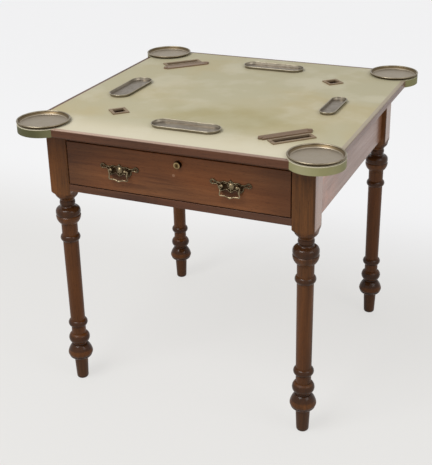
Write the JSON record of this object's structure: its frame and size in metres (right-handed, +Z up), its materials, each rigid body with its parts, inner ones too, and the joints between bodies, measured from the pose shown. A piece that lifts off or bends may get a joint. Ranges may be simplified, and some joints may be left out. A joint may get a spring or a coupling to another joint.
{
  "type": "mahjong table",
  "caption": "Square mahjong table: leather-covered top with round corner dishes and counter trays, turned legs, and lockable drawers with bail pulls at front and back.",
  "frame": {"origin": "on the floor under the middle of the top", "axes": "+Z up, the front drawer faces -Y, +X to the right of someone facing that drawer"},
  "size_m": [0.8232, 0.8232, 0.7485],
  "materials": {
    "walnut": "worn shellac polish",
    "turned_walnut": "worn shellac polish, darker in the hollows",
    "carcass_wood": "plain unpolished",
    "inlay_wood": "satin",
    "green_leather": "matt, lightly worn",
    "nickel": "aged nickel plate",
    "aged_brass": "dark antique brass"
  },
  "bodies": {
    "table": {"top_board": "carcass_wood", "corner_blocks": "carcass_wood", "lipping_front": "walnut", "lipping_back": "walnut", "lipping_left": "walnut", "lipping_right": "walnut", "leather_top": "green_leather", "ear_bands": "green_leather", "corner_dish_fl": "nickel", "corner_dish_fr": "nickel", "corner_dish_bl": "nickel", "corner_dish_br": "nickel", "counter_tray_front": "nickel", "counter_tray_back": "nickel", "counter_tray_left": "nickel", "counter_tray_right": "nickel", "well_liner_left": "inlay_wood", "well_liner_right": "inlay_wood", "slot_liner_front": "inlay_wood", "slot_liner_back": "inlay_wood", "score_bar_front": "inlay_wood", "score_bar_back": "inlay_wood", "leg_fl": "turned_walnut", "leg_fr": "turned_walnut", "leg_bl": "turned_walnut", "leg_br": "turned_walnut", "apron_left": "walnut", "apron_right": "walnut", "front_lower_rail": "walnut", "front_upper_rail": "walnut", "back_lower_rail": "walnut", "back_upper_rail": "walnut", "runner_left": "carcass_wood", "runner_right": "carcass_wood", "kickers": "carcass_wood", "partition": "carcass_wood"},
    "front_drawer": {"front_drawer_front": "walnut", "front_drawer_left_side": "carcass_wood", "front_drawer_right_side": "carcass_wood", "front_drawer_back": "carcass_wood", "front_drawer_bottom": "carcass_wood", "front_lock_case": "aged_brass", "pull_plate_front_left": "aged_brass", "pull_plate_front_right": "aged_brass"},
    "front_plug": {"front_lock_plug": "aged_brass"},
    "front_bolt": {"front_lock_bolt": "aged_brass"},
    "front_left_bail": {"pull_bail_front_left": "aged_brass"},
    "front_right_bail": {"pull_bail_front_right": "aged_brass"},
    "back_drawer": {"back_drawer_front": "walnut", "back_drawer_left_side": "carcass_wood", "back_drawer_right_side": "carcass_wood", "back_drawer_back": "carcass_wood", "back_drawer_bottom": "carcass_wood", "back_lock_case": "aged_brass", "pull_plate_back_left": "aged_brass", "pull_plate_back_right": "aged_brass"},
    "back_plug": {"back_lock_plug": "aged_brass"},
    "back_bolt": {"back_lock_bolt": "aged_brass"},
    "back_left_bail": {"pull_bail_back_left": "aged_brass"},
    "back_right_bail": {"pull_bail_back_right": "aged_brass"}
  },
  "joints": [
    {"name": "front_drawer_slide", "type": "slide", "parent": "table", "child": "front_drawer", "axis": [0, -1, 0], "range_m": [0, 0.24]},
    {"name": "front_left_bail_swing", "type": "hinge", "parent": "front_drawer", "child": "front_left_bail", "pos_m": [-0.144, -0.3537, 0.643], "axis": [-1, 0, 0], "range_deg": [-8, 165]},
    {"name": "front_right_bail_swing", "type": "hinge", "parent": "front_drawer", "child": "front_right_bail", "pos_m": [0.144, -0.3537, 0.643], "axis": [-1, 0, 0], "range_deg": [-8, 165]},
    {"name": "front_lock_turn", "type": "hinge", "parent": "front_drawer", "child": "front_plug", "pos_m": [0.012, -0.3462, 0.676], "axis": [0, -1, 0], "range_deg": [0, 90]},
    {"name": "front_bolt_slide", "type": "slide", "parent": "front_drawer", "child": "front_bolt", "axis": [0, 0, 1], "range_m": [0, 0.008]},
    {"name": "back_drawer_slide", "type": "slide", "parent": "table", "child": "back_drawer", "axis": [0, 1, 0], "range_m": [0, 0.24]},
    {"name": "back_left_bail_swing", "type": "hinge", "parent": "back_drawer", "child": "back_left_bail", "pos_m": [0.144, 0.3537, 0.643], "axis": [1, 0, 0], "range_deg": [-8, 165]},
    {"name": "back_right_bail_swing", "type": "hinge", "parent": "back_drawer", "child": "back_right_bail", "pos_m": [-0.144, 0.3537, 0.643], "axis": [1, 0, 0], "range_deg": [-8, 165]},
    {"name": "back_lock_turn", "type": "hinge", "parent": "back_drawer", "child": "back_plug", "pos_m": [-0.012, 0.3462, 0.676], "axis": [0, 1, 0], "range_deg": [0, 90]},
    {"name": "back_bolt_slide", "type": "slide", "parent": "back_drawer", "child": "back_bolt", "axis": [0, 0, 1], "range_m": [0, 0.008]}
  ],
  "couplings": [
    {"joint": "front_bolt_slide", "follows": "front_lock_turn", "m_per_rad": 0.0050929},
    {"joint": "back_bolt_slide", "follows": "back_lock_turn", "m_per_rad": 0.0050929}
  ]
}
